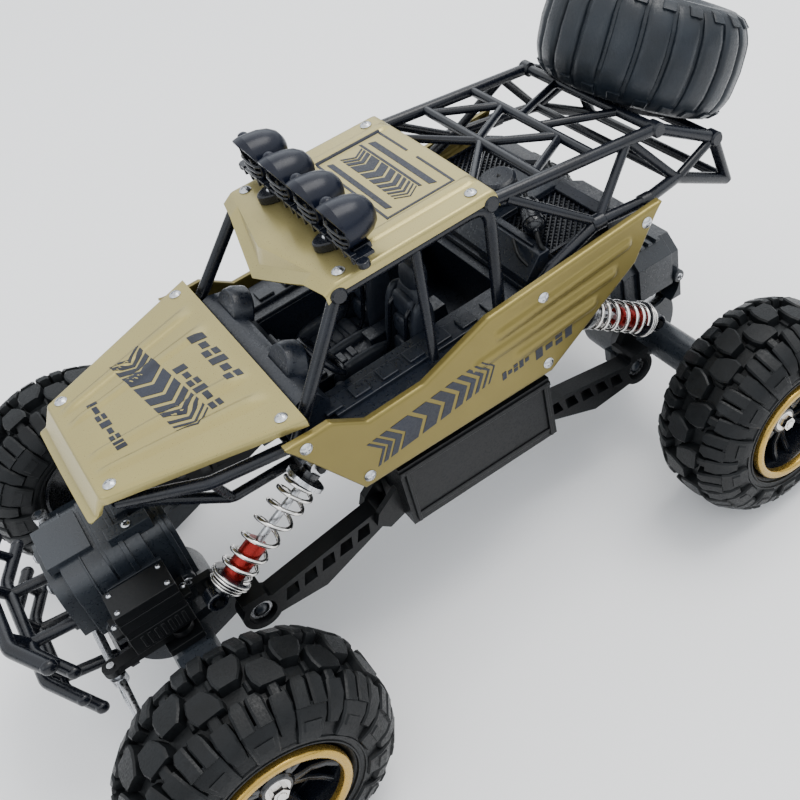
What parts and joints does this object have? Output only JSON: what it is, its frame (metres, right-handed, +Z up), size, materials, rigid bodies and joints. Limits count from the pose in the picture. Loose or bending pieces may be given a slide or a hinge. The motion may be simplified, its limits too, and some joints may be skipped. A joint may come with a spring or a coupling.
{
  "type": "radio-controlled rock crawler car",
  "caption": "Radio-controlled rock crawler: metal-panelled body on a tube cage, sprung live axles, steered front wheels, driven lugged tyres, light bar and spare tyre.",
  "frame": {"origin": "middle of the overall length and width, on the ground under the tyres", "axes": "+X forward, +Y to the car's left, +Z up"},
  "size_m": [0.3688, 0.231, 0.2152],
  "materials": {
    "gold_panel": "satin metallic gold paint",
    "black_plastic": "moulded black plastic",
    "cage_plastic": "semi-gloss black tube",
    "grey_plastic": "dark grey moulded plastic",
    "gloss_black": "gloss black",
    "chrome": "bright chrome",
    "steel": "plain steel",
    "red_metal": "red anodised",
    "rubber": "black rubber",
    "brass": "plain brass",
    "gold_ring": "gold paint",
    "board": "green board",
    "battery": "blue wrap",
    "lens": "bright reflector"
  },
  "bodies": {
    "chassis": {"chassis_tub": "black_plastic", "cockpit_tub": "black_plastic", "engine_cover": "black_plastic", "steering_wheel": "cage_plastic", "roll_cage": "cage_plastic", "hood_panel": "gold_panel", "roof_panel": "gold_panel", "left_side_panel": "gold_panel", "right_side_panel": "gold_panel", "panel_screws": "chrome", "light_bar": "cage_plastic", "light_lenses": "lens", "spare_tyre": "rubber", "battery_pack": "battery", "receiver_board": "board"},
    "battery_door": {"battery_cover": "grey_plastic"},
    "switch": {"power_switch": "red_metal"},
    "front_left_link": {"front_link_bush": "steel"},
    "front_axle": {"front_gear_case": "grey_plastic", "front_gear_cover": "grey_plastic", "front_motor": "steel", "steering_servo": "black_plastic", "front_bumper": "cage_plastic"},
    "rear_left_link": {"rear_link_bush": "steel"},
    "rear_axle": {"rear_gear_case": "grey_plastic", "rear_gear_cover": "grey_plastic", "rear_motor": "steel"},
    "left_steering": {"left_knuckle": "grey_plastic"},
    "right_steering": {"right_knuckle": "grey_plastic"},
    "tie_rod": {"tie_rod": "steel"},
    "steering_lever": {"steering_lever": "black_plastic"},
    "front_left_wheel": {"front_left_tyre": "rubber", "front_left_rim": "gloss_black", "front_left_bead_ring": "gold_ring"},
    "front_right_wheel": {"front_right_tyre": "rubber", "front_right_rim": "gloss_black", "front_right_bead_ring": "gold_ring"},
    "front_drive_shaft": {"front_drive_shaft": "steel"},
    "front_pinion": {"front_pinion": "brass"},
    "rear_wheels": {"rear_tyres": "rubber", "rear_rims": "gloss_black", "rear_bead_rings": "gold_ring", "rear_drive_shaft": "steel"},
    "rear_pinion": {"rear_pinion": "brass"},
    "front_left_arm": {"front_left_arm": "black_plastic"},
    "front_left_rod": {"front_left_rod": "chrome", "front_left_spring": "chrome"},
    "front_left_damper": {"front_left_damper": "red_metal"},
    "front_right_arm": {"front_right_arm": "black_plastic"},
    "front_right_rod": {"front_right_rod": "chrome", "front_right_spring": "chrome"},
    "front_right_damper": {"front_right_damper": "red_metal"},
    "rear_left_arm": {"rear_left_arm": "black_plastic"},
    "rear_left_rod": {"rear_left_rod": "chrome", "rear_left_spring": "chrome"},
    "rear_left_damper": {"rear_left_damper": "red_metal"},
    "rear_right_arm": {"rear_right_arm": "black_plastic"},
    "rear_right_rod": {"rear_right_rod": "chrome", "rear_right_spring": "chrome"},
    "rear_right_damper": {"rear_right_damper": "red_metal"}
  },
  "joints": [
    {"name": "front_left_bump", "type": "hinge", "parent": "chassis", "child": "front_left_link", "pos_m": [0.10328, -0.042, 0.056], "axis": [1, 0, 0], "range_deg": [0, 10], "stiffness_Nm_per_rad": 0.8, "springref_deg": -18.33},
    {"name": "front_right_bump", "type": "hinge", "parent": "front_left_link", "child": "front_axle", "pos_m": [0.10328, 0.042, 0.056], "axis": [-1, 0, 0], "range_deg": [0, 10], "stiffness_Nm_per_rad": 0.8, "springref_deg": -18.33},
    {"name": "front_left_arm_swing", "type": "hinge", "parent": "chassis", "child": "front_left_arm", "pos_m": [0.04628, 0.042, 0.066], "axis": [0, -1, 0], "range_deg": [0, 14.6]},
    {"name": "front_left_rod_swing", "type": "hinge", "parent": "chassis", "child": "front_left_rod", "pos_m": [0.06328, 0.0445, 0.108], "axis": [0, -1, 0], "range_deg": [0, 14.06]},
    {"name": "front_left_damper_stroke", "type": "slide", "parent": "front_left_rod", "child": "front_left_damper", "axis": [-0.8517, 0, 0.5241], "range_m": [0, 0.01152], "deforming": ["front_left_spring"]},
    {"name": "front_right_arm_swing", "type": "hinge", "parent": "chassis", "child": "front_right_arm", "pos_m": [0.04628, -0.042, 0.066], "axis": [0, -1, 0], "range_deg": [0, 14.6]},
    {"name": "front_right_rod_swing", "type": "hinge", "parent": "chassis", "child": "front_right_rod", "pos_m": [0.06328, -0.0445, 0.108], "axis": [0, -1, 0], "range_deg": [0, 14.06]},
    {"name": "front_right_damper_stroke", "type": "slide", "parent": "front_right_rod", "child": "front_right_damper", "axis": [-0.8517, 0, 0.5241], "range_m": [0, 0.01152], "deforming": ["front_right_spring"]},
    {"name": "rear_left_bump", "type": "hinge", "parent": "chassis", "child": "rear_left_link", "pos_m": [-0.08672, -0.042, 0.056], "axis": [1, 0, 0], "range_deg": [0, 10], "stiffness_Nm_per_rad": 0.8, "springref_deg": -18.33},
    {"name": "rear_right_bump", "type": "hinge", "parent": "rear_left_link", "child": "rear_axle", "pos_m": [-0.08672, 0.042, 0.056], "axis": [-1, 0, 0], "range_deg": [0, 10], "stiffness_Nm_per_rad": 0.8, "springref_deg": -18.33},
    {"name": "rear_left_arm_swing", "type": "hinge", "parent": "chassis", "child": "rear_left_arm", "pos_m": [-0.02972, 0.042, 0.066], "axis": [0, 1, 0], "range_deg": [0, 14.6]},
    {"name": "rear_left_rod_swing", "type": "hinge", "parent": "chassis", "child": "rear_left_rod", "pos_m": [-0.05572, 0.0445, 0.108], "axis": [0, 1, 0], "range_deg": [0, 15.31]},
    {"name": "rear_left_damper_stroke", "type": "slide", "parent": "rear_left_rod", "child": "rear_left_damper", "axis": [0.8022, 0, 0.597], "range_m": [0, 0.01255], "deforming": ["rear_left_spring"]},
    {"name": "rear_right_arm_swing", "type": "hinge", "parent": "chassis", "child": "rear_right_arm", "pos_m": [-0.02972, -0.042, 0.066], "axis": [0, 1, 0], "range_deg": [0, 14.6]},
    {"name": "rear_right_rod_swing", "type": "hinge", "parent": "chassis", "child": "rear_right_rod", "pos_m": [-0.05572, -0.0445, 0.108], "axis": [0, 1, 0], "range_deg": [0, 15.31]},
    {"name": "rear_right_damper_stroke", "type": "slide", "parent": "rear_right_rod", "child": "rear_right_damper", "axis": [0.8022, 0, 0.597], "range_m": [0, 0.01255], "deforming": ["rear_right_spring"]},
    {"name": "steering", "type": "hinge", "parent": "front_axle", "child": "left_steering", "pos_m": [0.13028, 0.066, 0.048], "axis": [0, 0, 1], "range_deg": [-22, 22]},
    {"name": "right_knuckle_steer", "type": "hinge", "parent": "front_axle", "child": "right_steering", "pos_m": [0.13028, -0.066, 0.048], "axis": [0, 0, 1], "range_deg": [-22, 22]},
    {"name": "tie_rod_pivot", "type": "hinge", "parent": "left_steering", "child": "tie_rod", "pos_m": [0.15728, 0.066, 0.048], "axis": [0, 0, 1], "range_deg": [-22, 22]},
    {"name": "servo_lever", "type": "hinge", "parent": "front_axle", "child": "steering_lever", "pos_m": [0.13028, 0.035, 0.048], "axis": [0, 0, 1], "range_deg": [-22, 22]},
    {"name": "front_drive", "type": "hinge", "parent": "left_steering", "child": "front_left_wheel", "pos_m": [0.13028, 0.093, 0.048], "axis": [0, 1, 0], "continuous": true},
    {"name": "front_right_wheel_spin", "type": "hinge", "parent": "right_steering", "child": "front_right_wheel", "pos_m": [0.13028, -0.093, 0.048], "axis": [0, 1, 0], "continuous": true},
    {"name": "front_shaft_spin", "type": "hinge", "parent": "front_axle", "child": "front_drive_shaft", "pos_m": [0.13028, 0, 0.048], "axis": [0, 1, 0], "continuous": true},
    {"name": "front_pinion_spin", "type": "hinge", "parent": "front_axle", "child": "front_pinion", "pos_m": [0.13852, 0.016, 0.0684], "axis": [0, 1, 0], "continuous": true},
    {"name": "rear_drive", "type": "hinge", "parent": "rear_axle", "child": "rear_wheels", "pos_m": [-0.11372, 0, 0.048], "axis": [0, 1, 0], "continuous": true},
    {"name": "rear_pinion_spin", "type": "hinge", "parent": "rear_axle", "child": "rear_pinion", "pos_m": [-0.12196, 0.016, 0.0684], "axis": [0, 1, 0], "continuous": true},
    {"name": "battery_door_hinge", "type": "hinge", "parent": "chassis", "child": "battery_door", "pos_m": [-0.02072, 0, 0.058], "axis": [0, 1, 0], "range_deg": [0, 95]},
    {"name": "power_switch_slide", "type": "slide", "parent": "chassis", "child": "switch", "axis": [1, 0, 0], "range_m": [0, 0.004]}
  ],
  "couplings": [
    {"joint": "front_left_arm_swing", "follows": "front_left_bump", "ratio": 1.4496},
    {"joint": "front_left_rod_swing", "follows": "front_left_bump", "ratio": 1.3961},
    {"joint": "front_left_damper_stroke", "follows": "front_left_bump", "m_per_rad": 0.065441},
    {"joint": "front_right_arm_swing", "follows": "front_right_bump", "ratio": 1.4496},
    {"joint": "front_right_rod_swing", "follows": "front_right_bump", "ratio": 1.3961},
    {"joint": "front_right_damper_stroke", "follows": "front_right_bump", "m_per_rad": 0.065441},
    {"joint": "rear_left_arm_swing", "follows": "rear_left_bump", "ratio": 1.4496},
    {"joint": "rear_left_rod_swing", "follows": "rear_left_bump", "ratio": 1.5208},
    {"joint": "rear_left_damper_stroke", "follows": "rear_left_bump", "m_per_rad": 0.071337},
    {"joint": "rear_right_arm_swing", "follows": "rear_right_bump", "ratio": 1.4496},
    {"joint": "rear_right_rod_swing", "follows": "rear_right_bump", "ratio": 1.5208},
    {"joint": "rear_right_damper_stroke", "follows": "rear_right_bump", "m_per_rad": 0.071337},
    {"joint": "right_knuckle_steer", "follows": "steering", "ratio": 1},
    {"joint": "tie_rod_pivot", "follows": "steering", "ratio": -1},
    {"joint": "servo_lever", "follows": "steering", "ratio": 1},
    {"joint": "front_right_wheel_spin", "follows": "front_drive", "ratio": 1},
    {"joint": "front_shaft_spin", "follows": "front_drive", "ratio": 1},
    {"joint": "front_pinion_spin", "follows": "front_drive", "ratio": -2.6667},
    {"joint": "rear_pinion_spin", "follows": "rear_drive", "ratio": -2.6667}
  ]
}
